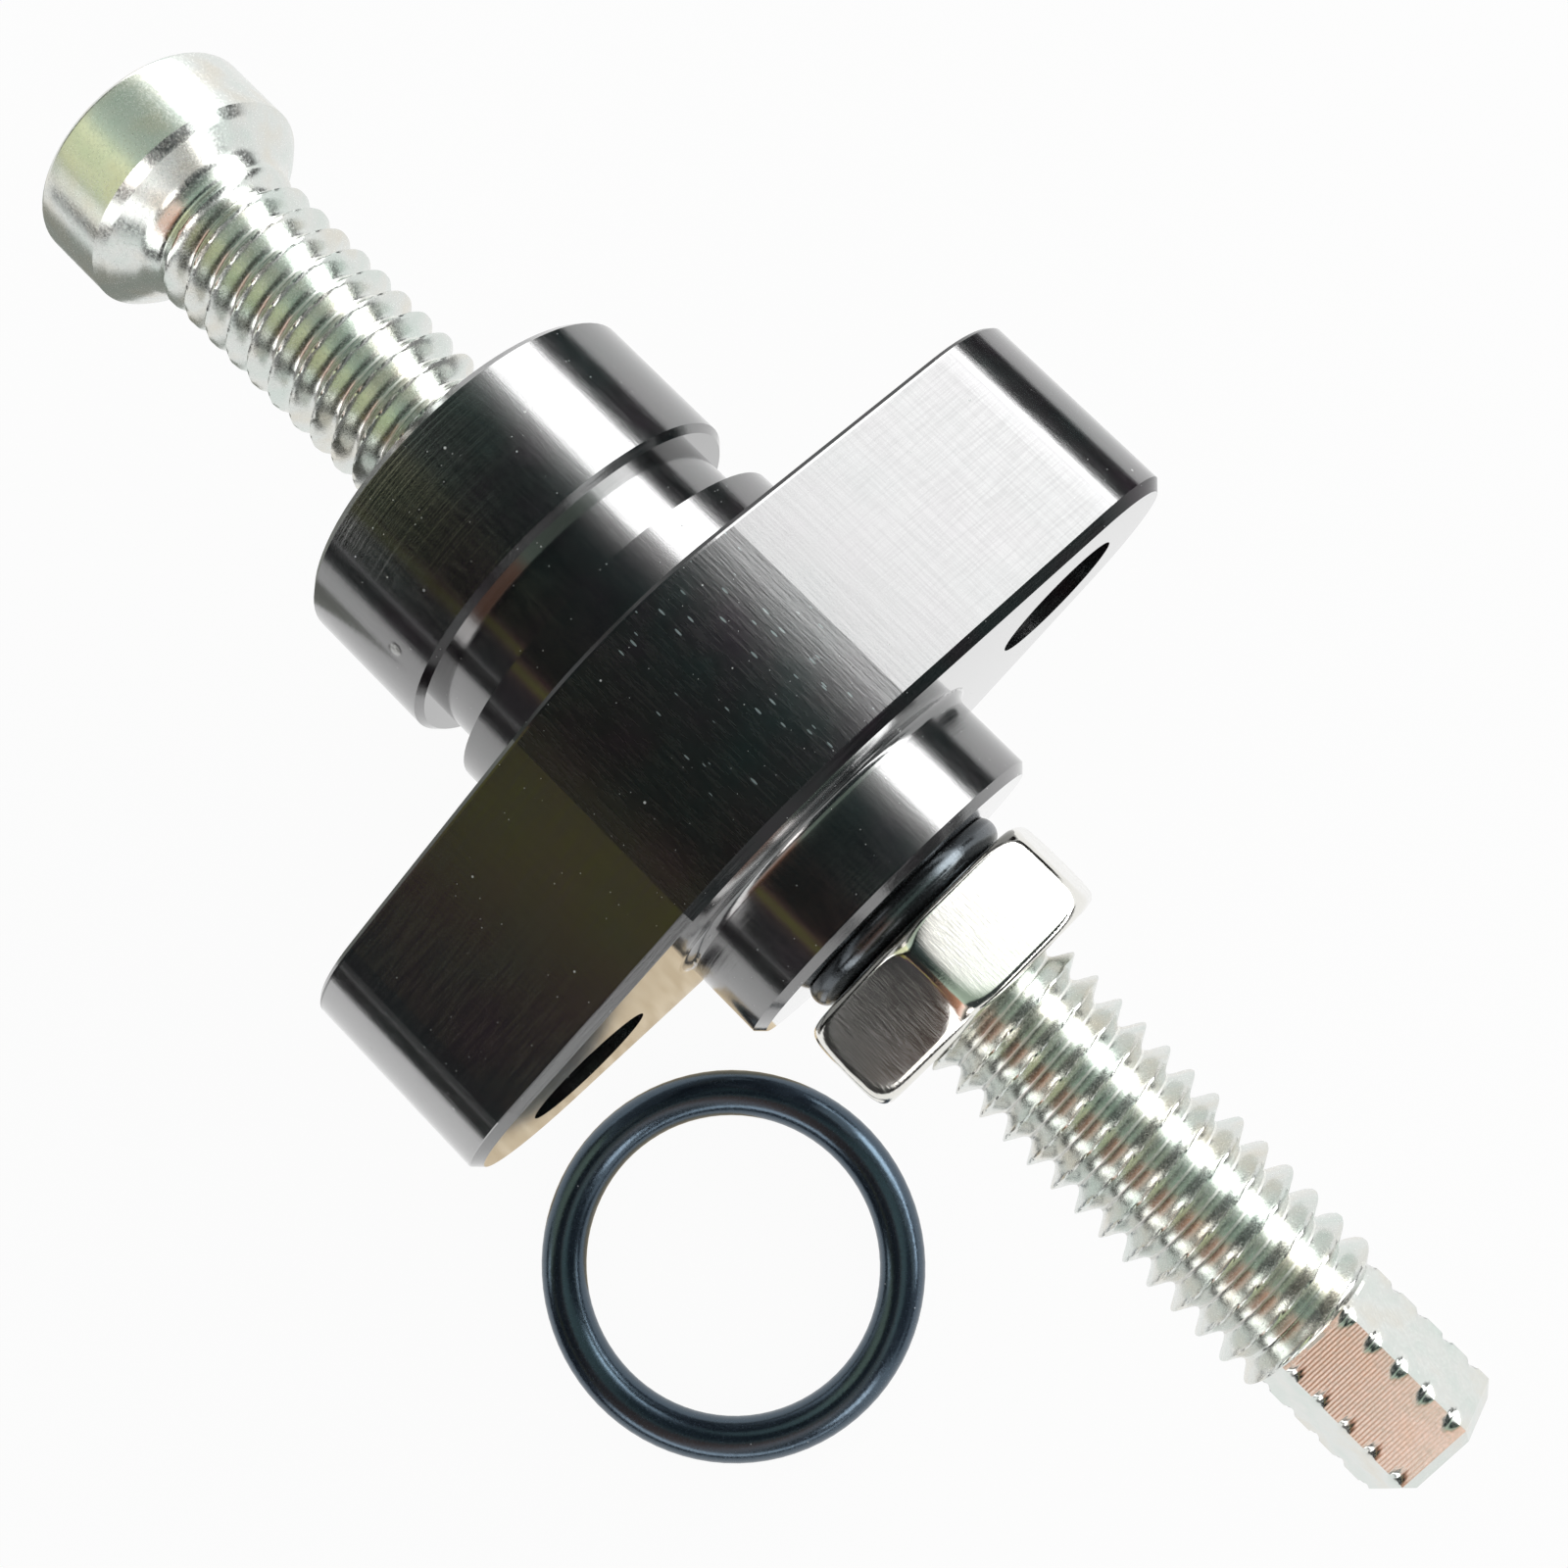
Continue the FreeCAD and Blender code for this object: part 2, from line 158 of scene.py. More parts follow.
def mesh_from_rings(name, rings, joined_up):
    """Quads between rings of equal count; the last ring joins the first, or both ends get a fan."""
    count = len(rings[0])
    points = [point for ring in rings for point in ring]
    faces = []
    steps = len(rings) if joined_up else len(rings) - 1
    for i in range(steps):
        here = i * count
        after = (i + 1) % len(rings) * count
        for j in range(count):
            k = (j + 1) % count
            faces.append((here + j, after + j, after + k, here + k))
    if not joined_up:
        last = (len(rings) - 1) * count
        faces += end_fan(points, 0, count, True)
        faces += end_fan(points, last, count, False)
    mesh = bpy.data.meshes.new(name)
    mesh.from_pydata(points, [], faces)
    mesh.flip_normals()
    mesh.validate()
    mesh.shade_smooth()
    mesh.set_sharp_from_angle(angle=math.radians(SHARP_ANGLE))
    piece = bpy.data.objects.new(name, mesh)
    bpy.context.scene.collection.objects.link(piece)
    return piece


def stations(start, end, count):
    """Evenly spaced values from start to end, both included."""
    return [start + (end - start) * i / (count - 1) for i in range(count)]


def soft_least(a, b, width):
    """The smaller of two numbers, with a round where they cross."""
    blend = max(width - abs(a - b), 0.0) / width
    return min(a, b) - blend * blend * width / 4


def smooth_rise(value, start, end):
    """0 before start, 1 after end and an S between them."""
    share = min(max((value - start) / (end - start), 0.0), 1.0)
    return share * share * (3 - 2 * share)


# Adjuster bolt


def head_radius(x):
    """Turned outline of the head, its underside and the plain shank."""
    chamfer_start = HEAD_REAR - HEAD_REAR_CHAMFER
    under = HEAD_RADIUS - HEAD_REAR_CHAMFER
    steepness = 1 / math.tan(HEAD_UNDER_ANGLE)
    turn = math.pi / 2 - HEAD_UNDER_ANGLE
    fillet_end = HEAD_REAR + (under - THREAD_RADIUS) / steepness + HEAD_FILLET * math.tan(turn / 2)
    fillet_start = fillet_end - HEAD_FILLET * math.sin(turn)
    if x < HEAD_FRONT + HEAD_FRONT_ROUND:
        lag = HEAD_FRONT + HEAD_FRONT_ROUND - x
        return HEAD_RADIUS - HEAD_FRONT_ROUND + math.sqrt(max(HEAD_FRONT_ROUND ** 2 - lag ** 2, 0.0))
    if x < chamfer_start:
        return HEAD_RADIUS
    if x < HEAD_REAR:
        return HEAD_RADIUS - (x - chamfer_start)
    if x < fillet_start:
        return under - (x - HEAD_REAR) * steepness
    if x < fillet_end:
        return THREAD_RADIUS + HEAD_FILLET - math.sqrt(HEAD_FILLET ** 2 - (fillet_end - x) ** 2)
    return THREAD_RADIUS


def thread_groove(x, angle):
    """Depth of the thread below its crest."""
    turns = (x - THREAD_CREST_AT) / THREAD_PITCH - angle / TURN
    away = abs(turns - round(turns)) * THREAD_PITCH
    rise = -soft_least((THREAD_HALF_CREST - away) / THREAD_FLANK, 0.0, THREAD_CREST_ROUND)
    on_tail = smooth_rise(x, TAIL_START - THREAD_PITCH, TAIL_START)
    depth = THREAD_DEPTH + on_tail * (THREAD_TAIL_DEPTH - THREAD_DEPTH)
    return depth * soft_least(rise, 1.0, THREAD_ROOT_ROUND)


def thread_wear(x, angle):
    """Small uneven loss all over the thread."""
    place = Vector((x * WEAR_ALONG, math.cos(angle) * WEAR_AROUND, math.sin(angle) * WEAR_AROUND))
    return abs(WEAR_DEPTH * noise.noise(place))


def tail_radius(x, angle):
    """Hexagon milled on the tail, bevelled all round its end."""
    off = (angle - TAIL_FACE_ANGLE) % SIXTH
    off = min(off, SIXTH - off)
    bevel = max(x - TAIL_END + TAIL_BEVEL, 0.0)
    return (TAIL_HALF_FLATS - bevel) / math.cos(off)


def bolt_radius(x, angle):
    """Radius of the threaded adjuster at any point of its length and turn."""
    radius = head_radius(x)
    if x > THREAD_START:
        fade = smooth_rise(x, THREAD_START, THREAD_START + THREAD_RUN_OUT)
        radius -= fade * (thread_groove(x, angle) + thread_wear(x, angle))
    if x > TAIL_START:
        radius = min(radius, tail_radius(x, angle))
    return radius


def bolt_stations():
    """Stations along the bolt, closer together where its outline turns."""
    round_rows = 6
    head_rows = 6
    chamfer_rows = 6
    neck_rows = 36
    rows_per_turn = 18
    tail_rows = 84
    bevel_rows = 5
    past_round = 0.8
    past_corner = 0.04
    before_neck_end = 0.06
    beside_shoulder = 0.02
    chamfer_start = HEAD_REAR - HEAD_REAR_CHAMFER
    bevel_start = TAIL_END - TAIL_BEVEL
    thread_rows = round((TAIL_START - NECK_END) / THREAD_PITCH * rows_per_turn)
    rows = []
    for i in range(round_rows + 1):
        rows.append(HEAD_FRONT + HEAD_FRONT_ROUND * (1 - math.cos(math.pi / 2 * i / round_rows)))
    rows += stations(HEAD_FRONT + past_round, chamfer_start, head_rows)
    rows += stations(chamfer_start + past_corner, HEAD_REAR, chamfer_rows)
    rows += stations(HEAD_REAR + past_corner, NECK_END - before_neck_end, neck_rows)
    rows += stations(NECK_END, TAIL_START - beside_shoulder, thread_rows)
    rows += stations(TAIL_START + beside_shoulder, bevel_start, tail_rows)
    rows += stations(bevel_start + TAIL_BEVEL / bevel_rows, TAIL_END, bevel_rows)
    return rows


def make_bolt():
    """The adjuster with its real thread, which the plain CAD shank stands in for."""
    angles = [TAIL_CORNER_ANGLE + TURN * j / BOLT_COLUMNS for j in range(BOLT_COLUMNS)]
    rings = [ring_points(x, bolt_radius, angles) for x in bolt_stations()]
    piece = mesh_from_rings("adjuster_thread", rings, False)
    piece.data.materials.append(plated_steel())
    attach(piece, "adjuster")
    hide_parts("adjuster_bolt")


# Lock nut


def nut_radius(x, angle):
    """Hexagon with soft corners, rounded into the convex chamfer of either end."""
    total = 0.0
    for face in range(6):
        facing = math.cos(angle - NUT_FACE_ANGLE - face * SIXTH)
        total += max(facing, 0.0) ** NUT_HARDNESS
    flat = NUT_HALF_FLATS / total ** (1 / NUT_HARDNESS)
    depth = max(min(x - NUT_FRONT, NUT_REAR - x), 0.0)
    rise = NUT_CORNER_RADIUS - NUT_FACE_RADIUS
    chamfer = NUT_FACE_RADIUS + rise * (depth / NUT_CHAMFER_DEPTH) ** NUT_CHAMFER_POWER
    lag = max(NUT_EDGE_ROUND - depth, 0.0)
    rounded = flat - NUT_EDGE_ROUND + math.sqrt(NUT_EDGE_ROUND ** 2 - lag ** 2)
    return (rounded ** -NUT_HARDNESS + chamfer ** -NUT_HARDNESS) ** (-1 / NUT_HARDNESS)


def nut_stations():
    """Stations along the nut's outside, crowded towards both ends."""
    edge_rows = 14
    crowding = 1.5
    middle_rows = 8
    middle_from = 1.2
    depths = [NUT_CHAMFER_DEPTH * (i / edge_rows) ** crowding for i in range(edge_rows + 1)]
    rows = [NUT_FRONT + depth for depth in depths]
    rows += stations(NUT_FRONT + middle_from, NUT_REAR - middle_from, middle_rows)
    rows += [NUT_REAR - depth for depth in reversed(depths)]
    return rows


def make_nut():
    """Jam nut with the soft plated edges of the real one."""
    angles = [TURN * j / NUT_COLUMNS for j in range(NUT_COLUMNS)]
    rings = [ring_points(x, nut_radius, angles) for x in nut_stations()]
    inner = [
        (NUT_REAR, NUT_FACE_RADIUS - NUT_EDGE_ROUND),
        (NUT_REAR, NUT_BORE_RADIUS + NUT_BORE_CHAMFER),
        (NUT_REAR - NUT_BORE_CHAMFER, NUT_BORE_RADIUS),
        (NUT_FRONT + NUT_BORE_CHAMFER, NUT_BORE_RADIUS),
        (NUT_FRONT, NUT_BORE_RADIUS + NUT_BORE_CHAMFER),
        (NUT_FRONT, NUT_FACE_RADIUS - NUT_EDGE_ROUND),
    ]
    for x, radius in inner:
        rings.append(ring_points(x, lambda at, angle: radius, angles))
    piece = mesh_from_rings("jam_nut", rings, True)
    piece.data.materials.append(bright_plating())
    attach(piece, "nut")
    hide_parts("lock_nut")


# Shader nodes


def new_material(name):
    """A node material; gives it, its tree and its shader."""
    material = bpy.data.materials.new(name)
    material.use_nodes = True
    tree = material.node_tree
    return material, tree, tree.nodes["Principled BSDF"]


def add_node(tree, kind, **settings):
    """A new node with its properties set."""
    node = tree.nodes.new(kind)
    for name, value in settings.items():
        setattr(node, name, value)
    return node


def set_inputs(node, **values):
    """Sets sockets by name, with underscores for spaces."""
    for name, value in values.items():
        node.inputs[name.replace("_", " ")].default_value = value


def grey(value):
    """Colour with three equal parts."""
    return (value, value, value)


def object_point(tree, per_mm):
    """Position on the piece times so many features to the millimetre, one number or one for each axis."""
    if isinstance(per_mm, float):
        per_mm = (per_mm, per_mm, per_mm)
    place = add_node(tree, "ShaderNodeTexCoord")
    scaled = add_node(tree, "ShaderNodeMapping")
    scaled.inputs["Scale"].default_value = [value / MM for value in per_mm]
    tree.links.new(place.outputs["Object"], scaled.inputs["Vector"])
    return scaled.outputs["Vector"]


def place_parts(tree):
    """X, Y and Z on the piece in millimetres, as three sockets."""
    split = add_node(tree, "ShaderNodeSeparateXYZ")
    tree.links.new(object_point(tree, 1.0), split.inputs["Vector"])
    return split.outputs["X"], split.outputs["Y"], split.outputs["Z"]


def grain(tree, per_mm, detail):
    """Noise with so many features to the millimetre."""
    texture = add_node(tree, "ShaderNodeTexNoise")
    set_inputs(texture, Scale=1.0, Detail=detail, Roughness=0.55, Distortion=0.0)
    tree.links.new(object_point(tree, per_mm), texture.inputs["Vector"])
    return texture.outputs["Fac"]


def ramp(tree, value, stops):
    """Colour ramp over a value; stops are (place, colour or grey)."""
    node = add_node(tree, "ShaderNodeValToRGB")
    band = node.color_ramp
    while len(band.elements) < len(stops):
        band.elements.new(1.0)
    for element, (place, colour) in zip(band.elements, stops):
        element.position = place
        if isinstance(colour, float):
            colour = grey(colour)
        element.color = (*colour, 1.0)
    tree.links.new(value, node.inputs["Fac"])
    return node.outputs["Color"]


def scaled_ramp(tree, value, stops):
    """Colour ramp whose stops are given in the value's own unit."""
    low, high = stops[0][0], stops[-1][0]
    spread = add_node(tree, "ShaderNodeMapRange")
    tree.links.new(value, spread.inputs["Value"])
    set_inputs(spread, From_Min=low, From_Max=high)
    shares = [((at - low) / (high - low), colour) for at, colour in stops]
    return ramp(tree, spread.outputs["Result"], shares)


def math_node(tree, operation, first, second, clamp=False):
    """Result of an operation on two values, each a socket or a number."""
    node = add_node(tree, "ShaderNodeMath", operation=operation, use_clamp=clamp)
    for socket, value in zip(node.inputs, (first, second)):
        if isinstance(value, (int, float)):
            socket.default_value = value
        else:
            tree.links.new(value, socket)
    return node.outputs["Value"]


def product(tree, first, second):
    """Two values times each other; of two masks, where both hold."""
    return math_node(tree, "MULTIPLY", first, second)


def greatest(tree, first, second):
    """The greater of two values; of two masks, where either holds."""
    return math_node(tree, "MAXIMUM", first, second)


def without(tree, mask):
    """The rest of a mask."""
    return math_node(tree, "SUBTRACT", 1.0, mask)


def above(tree, value, bound):
    """1 where a value is greater than a bound."""
    return math_node(tree, "GREATER_THAN", value, bound)


def below(tree, value, bound):
    """1 where a value is less than a bound."""
    return math_node(tree, "LESS_THAN", value, bound)


def between(tree, value, low, high):
    """1 where a value lies between two bounds."""
    return product(tree, above(tree, value, low), below(tree, value, high))


def square_off_axis(tree, y, z):
    """Square of the distance from the axis."""
    return math_node(tree, "ADD", product(tree, y, y), product(tree, z, z))


def axis_lean(tree):
    """How far the surface faces along the axis: 0 for turned surfaces, 1 for end faces."""
    place = add_node(tree, "ShaderNodeTexCoord")
    split = add_node(tree, "ShaderNodeSeparateXYZ")
    tree.links.new(place.outputs["Normal"], split.inputs["Vector"])
    return math_node(tree, "ABSOLUTE", split.outputs["X"], 0.0)


def mixed(tree, share, first, second):
    """Colour between two sockets or colours; a mix node has its colours behind its numbers and vectors."""
    node = add_node(tree, "ShaderNodeMix", data_type="RGBA")
    colour_sockets = (node.inputs[6], node.inputs[7])
    tree.links.new(share, node.inputs["Factor"])
    for socket, value in zip(colour_sockets, (first, second)):
        if isinstance(value, tuple):
            socket.default_value = (*value, 1.0)
        else:
            tree.links.new(value, socket)
    return node.outputs[2]


def blended(tree, share, first, second):
    """Shader between two shaders."""
    node = add_node(tree, "ShaderNodeMixShader")
    tree.links.new(share, node.inputs["Fac"])
    tree.links.new(first, node.inputs[1])
    tree.links.new(second, node.inputs[2])
    return node.outputs["Shader"]


def emission(tree, colour, strength):
    """Glow of a colour socket, with a number or a socket as its strength."""
    glow = add_node(tree, "ShaderNodeEmission")
    tree.links.new(colour, glow.inputs["Color"])
    if isinstance(strength, float):
        set_inputs(glow, Strength=strength)
    else:
        tree.links.new(strength, glow.inputs["Strength"])
    return glow.outputs["Emission"]


def bump_chain(tree, layers):
    """Bumps on each other; layers are (height socket, depth in millimetres, share where it shows)."""
    under = None
    for height, depth, share in layers:
        node = add_node(tree, "ShaderNodeBump")
        set_inputs(node, Strength=1.0, Distance=depth * MM)
        tree.links.new(height, node.inputs["Height"])
        if share is not None:
            tree.links.new(share, node.inputs["Strength"])
        if under is not None:
            tree.links.new(under, node.inputs["Normal"])
        under = node.outputs["Normal"]
    return under


def blob(tree, centre, reach):
    """1 at a point of the piece, falling to 0 at so many millimetres along each axis."""
    shifted = add_node(tree, "ShaderNodeMapping", vector_type="POINT")
    shifted.inputs["Location"].default_value = [-c / r for c, r in zip(centre, reach)]
    shifted.inputs["Scale"].default_value = [1 / (MM * r) for r in reach]
    place = add_node(tree, "ShaderNodeTexCoord")
    tree.links.new(place.outputs["Object"], shifted.inputs["Vector"])
    away = add_node(tree, "ShaderNodeVectorMath", operation="LENGTH")
    tree.links.new(shifted.outputs["Vector"], away.inputs[0])
    return math_node(tree, "SUBTRACT", 1.0, away.outputs["Value"], clamp=True)


def fine_lines(tree, pitch):
    """Regular tool marks square to the axis, so many millimetres apart."""
    lines = add_node(tree, "ShaderNodeTexWave", wave_type="BANDS", bands_direction="X")
    wave_units_per_line = math.pi / 10
    set_inputs(lines, Scale=wave_units_per_line / pitch, Distortion=0.6, Detail=2.0, Detail_Scale=1.5)
    tree.links.new(object_point(tree, 1.0), lines.inputs["Vector"])
    return lines.outputs["Fac"]


def specks(tree, per_mm, size, share):
    """Mask of small grains scattered over a share of the cells."""
    cells = add_node(tree, "ShaderNodeTexVoronoi")
    set_inputs(cells, Scale=1.0)
    tree.links.new(object_point(tree, per_mm), cells.inputs["Vector"])
    near = below(tree, cells.outputs["Distance"], size)
    split = add_node(tree, "ShaderNodeSeparateColor")
    tree.links.new(cells.outputs["Color"], split.inputs["Color"])
    chosen = below(tree, split.outputs["Red"], share)
    return product(tree, near, chosen)


# Housing


def body_regions(tree):
    """Masks of the housing's surfaces, by their place and by how far they face along the axis."""
    x, y, z = place_parts(tree)
    lean = axis_lean(tree)
    far_out = above(tree, square_off_axis(tree, y, z), FLANGE_CORE_RADIUS ** 2)
    clear_of_edges = between(tree, x, FLANGE_FRONT_EDGE, FLANGE_THICKNESS - FLANGE_REAR_EDGE)
    flange_side = product(tree, clear_of_edges, far_out)
    middle = between(tree, y, -FLANGE_TURNED_HALF_WIDTH, FLANGE_TURNED_HALF_WIDTH)
    flanks = product(tree, without(tree, middle), between(tree, y, -FLANK_END, FLANK_END))
    turned_middle = product(tree, flange_side, middle)
    edges = ramp(tree, lean, [(0.25, 0.0), (0.45, 1.0), (0.85, 1.0), (END_FACE_LEAN, 0.0)])
    past_low_flank = above(tree, y, -FLANGE_TURNED_HALF_WIDTH)
    return SimpleNamespace(
        flange_side=flange_side,
        turned_middle=turned_middle,
        # Upper side of the turned middle, where glints are painted
        painted_glint_middle=product(tree, turned_middle, above(tree, y, GLINTS_PAST)),
        milled_flank=product(tree, flange_side, flanks),
        low_end=product(tree, flange_side, below(tree, y, -FLANK_END)),
        end_face=above(tree, lean, END_FACE_LEAN),
        edges=edges,
        front_edge=product(tree, edges, below(tree, x, WEAR_AND_HIGHLIGHT_BEFORE)),
        flange_edge=product(tree, product(tree, edges, far_out), past_low_flank),
    )


def body_marks(tree):
    """Tool marks, pores, dusty specks mixed with painted sparkles, and the nick of the housing."""
    # Finer pale specks: painted sparkles, small painted glints of light
    painted_sparkles = specks(tree, 3.6, 0.07, 0.2)
    return SimpleNamespace(
        rings=grain(tree, (6.5, 0.05, 0.05), 3.0),
        streaks=grain(tree, (0.9, 8.0, 8.0), 2.0),
        rows=grain(tree, (0.3, 9.0, 9.0), 2.0),
        cross=grain(tree, (11.0, 0.5, 0.5), 2.0),
        pores=grain(tree, 13.0, 1.0),
        # Pale specks: real dust mixed with the painted sparkles above
        dust_and_sparkles=greatest(tree, specks(tree, 0.9, 0.05, 0.2), painted_sparkles),
        nick=blob(tree, BOSS_NICK, BOSS_NICK_REACH),
    )


def body_colour(tree, regions, marks):
    """Near black with a cloudy tint; paler along the boss's front edge, part wear and part painted
    highlight; painted glints on the upper side of the turned middle; paler at the nick and at dusty specks
    mixed with painted sparkles.
    """
    green_black = (0.006, 0.013, 0.013)
    plain_black = (0.009, 0.010, 0.011)
    plum_black = (0.014, 0.009, 0.014)
    wear_and_highlight_grey = (0.2, 0.2, 0.195)
    painted_glint_grey = (0.24, 0.30, 0.30)
    nick_grey = (0.42, 0.42, 0.4)
    dust_and_sparkle_grey = (0.6, 0.63, 0.62)
    cloud = grain(tree, 0.25, 3.0)
    colour = ramp(tree, cloud, [(0.35, green_black), (0.5, plain_black), (0.65, plum_black)])
    # Paler front edge of the boss: part edge wear, part painted highlight
    wear_and_highlight = product(tree, regions.front_edge, ramp(tree, marks.streaks, [(0.4, 0.1), (0.6, 0.5)]))
    colour = mixed(tree, wear_and_highlight, colour, wear_and_highlight_grey)
    # Painted glints: pale grey dashes on the upper side of the turned middle stand in for highlights of the
    # turning marks
    painted_glint_dashes = product(tree, specks(tree, (1.1, 4.5, 4.5), 0.2, 0.3), regions.painted_glint_middle)
    colour = mixed(tree, painted_glint_dashes, colour, painted_glint_grey)
    nicked = ramp(tree, marks.nick, [(0.3, 0.0), (0.5, 1.0)])
    colour = mixed(tree, nicked, colour, nick_grey)
    # Paler where dust and painted sparkles lie
    return mixed(tree, marks.dust_and_sparkles, colour, dust_and_sparkle_grey)


def body_roughness(tree, regions, marks):
    """Coarse on the turned middle of the flange, finer elsewhere and smooth on the end faces."""
    turned = ramp(tree, marks.streaks, [(0.3, 0.13), (0.7, 0.21)])
    coarse = ramp(tree, marks.streaks, [(0.3, 0.22), (0.7, 0.3)])
    milled = ramp(tree, marks.cross, [(0.35, 0.13), (0.65, 0.24)])
    roughness = mixed(tree, regions.milled_flank, turned, milled)
    roughness = mixed(tree, regions.turned_middle, roughness, coarse)
    roughness = mixed(tree, regions.end_face, roughness, grey(0.1))
    return mixed(tree, marks.dust_and_sparkles, roughness, grey(0.7))


def body_coat(tree, regions):
    """Clear coat: full on end faces and the low end, thinner on the boss, none on the flange's side."""
    coat = ramp(tree, regions.end_face, [(0.0, 0.6), (1.0, 1.0)])
    dull = greatest(tree, regions.turned_middle, regions.milled_flank)
    dull = greatest(tree, dull, regions.flange_edge)
    coat = product(tree, coat, without(tree, dull))
    return greatest(tree, coat, regions.low_end)


def body_specular(tree, regions, marks):
    """Strength of the reflections, weak on the turned middle and the flange's edges."""
    upright = ramp(tree, marks.cross, [(0.35, 0.41), (0.65, 0.49)])
    rows = ramp(tree, marks.rows, [(0.4, 0.93), (0.6, 1.0)])
    level = mixed(tree, regions.turned_middle, grey(0.5), grey(0.26))
    level = mixed(tree, regions.milled_flank, level, product(tree, upright, rows))
    level = mixed(tree, regions.flange_edge, level, grey(0.07))
    return mixed(tree, regions.low_end, level, grey(1.0))


def black_anodised():
    """Black anodised aluminium with turning rings, milling streaks, edge wear with a painted highlight on
    the front edge, painted glints on the turned middle, and dusty specks mixed with painted sparkles.
    """
    material, tree, shader = new_material("black_anodised")
    regions = body_regions(tree)
    marks = body_marks(tree)
    sides = without(tree, regions.end_face)
    turned_sides = product(tree, sides, without(tree, regions.flange_side))
    layers = [
        (marks.rings, 0.005, turned_sides),
        (marks.streaks, 0.002, sides),
        (marks.streaks, 0.008, regions.turned_middle),
        (marks.cross, 0.004, regions.edges),
        (marks.pores, 0.002, sides),
        (marks.nick, 0.25, marks.nick),
    ]
    set_inputs(shader, Metallic=0.0, IOR=2.4, Coat_IOR=1.8, Coat_Roughness=0.12)
    tree.links.new(body_colour(tree, regions, marks), shader.inputs["Base Color"])
    tree.links.new(body_roughness(tree, regions, marks), shader.inputs["Roughness"])
    tree.links.new(body_coat(tree, regions), shader.inputs["Coat Weight"])
    tree.links.new(body_specular(tree, regions, marks), shader.inputs["Specular IOR Level"])
    tree.links.new(bump_chain(tree, layers), shader.inputs["Normal"])
    return material


# Other finishes


def bolt_regions(tree):
    """Masks of the adjuster: its head, its thread, the thread's bottom with its painted highlight and the
    two finishes of its tail.
    """
    tail_margin = 0.3
    neck_margin = 0.9
    lines_start = TAIL_START + 1.0
    lines_slope = 1.2
    x, y, z = place_parts(tree)
    tail = above(tree, x, TAIL_START + tail_margin)
    head = below(tree, x, HEAD_REAR + neck_margin)
    thread = without(tree, greatest(tree, tail, head))
    radius = math_node(tree, "SQRT", square_off_axis(tree, y, z), 0.0)
    drift = math_node(tree, "ADD", x, product(tree, y, lines_slope))
    fading = scaled_ramp(tree, drift, [(lines_start, 1.0), (TAIL_END, 0.15)])
    return SimpleNamespace(
        tail=tail,
        head=head,
        thread=thread,
        bottom=product(tree, scaled_ramp(tree, radius, THREAD_BOTTOM_HIGHLIGHT), thread),
        lined=product(tree, tail, fading),
        stippled=product(tree, tail, without(tree, fading)),
    )


def plated_steel():
    """Zinc plate on a cut thread: pale, faintly coloured, with tool marks on the hexagon and a painted pale
    highlight at the bottom of the thread.
    """
    green_plate = (0.68, 0.74, 0.70)
    plain_plate = (0.75, 0.77, 0.74)
    warm_plate = (0.75, 0.73, 0.66)
    painted_pale_bottom = (0.84, 0.84, 0.8)
    line_pitch = 0.16
    material, tree, shader = new_material("plated_steel")
    regions = bolt_regions(tree)
    sparkle = grain(tree, 7.5, 2.0)
    cloud = grain(tree, 0.5, 2.0)
    tint = ramp(tree, cloud, [(0.3, green_plate), (0.5, plain_plate), (0.7, warm_plate)])
    satin = ramp(tree, sparkle, [(0.3, 0.17), (0.7, 0.3)])
    bright = ramp(tree, sparkle, [(0.3, 0.14), (0.7, 0.26)])
    sheen = mixed(tree, regions.tail, satin, bright)
    metallic = ramp(tree, regions.bottom, [(0.0, 1.0), (1.0, 0.7)])
    layers = [
        (sparkle, 0.0045, regions.thread),
        (sparkle, 0.0012, regions.head),
        (sparkle, 0.004, regions.stippled),
        (fine_lines(tree, line_pitch), 0.004, regions.lined),
    ]
    # Pale, less metallic bottom of the thread: a painted highlight along each groove
    tree.links.new(mixed(tree, regions.bottom, tint, painted_pale_bottom), shader.inputs["Base Color"])
    tree.links.new(mixed(tree, regions.bottom, sheen, grey(0.45)), shader.inputs["Roughness"])
    tree.links.new(metallic, shader.inputs["Metallic"])
    tree.links.new(bump_chain(tree, layers), shader.inputs["Normal"])
    return material


def bright_plating():
    """Bright plate over lightly brushed and stippled flats."""
    material, tree, shader = new_material("bright_plating")
    brushed = grain(tree, (1.2, 9.0, 9.0), 3.0)
    stipple = grain(tree, 12.0, 2.0)
    cloud = grain(tree, 0.6, 2.0)
    tint = ramp(tree, cloud, [(0.3, (0.80, 0.79, 0.74)), (0.7, (0.86, 0.85, 0.81))])
    layers = [(brushed, 0.004, None), (stipple, 0.0016, None)]
    set_inputs(shader, Metallic=1.0)
    tree.links.new(tint, shader.inputs["Base Color"])
    tree.links.new(ramp(tree, brushed, [(0.3, 0.07), (0.7, 0.15)]), shader.inputs["Roughness"])
    tree.links.new(bump_chain(tree, layers), shader.inputs["Normal"])
    return material


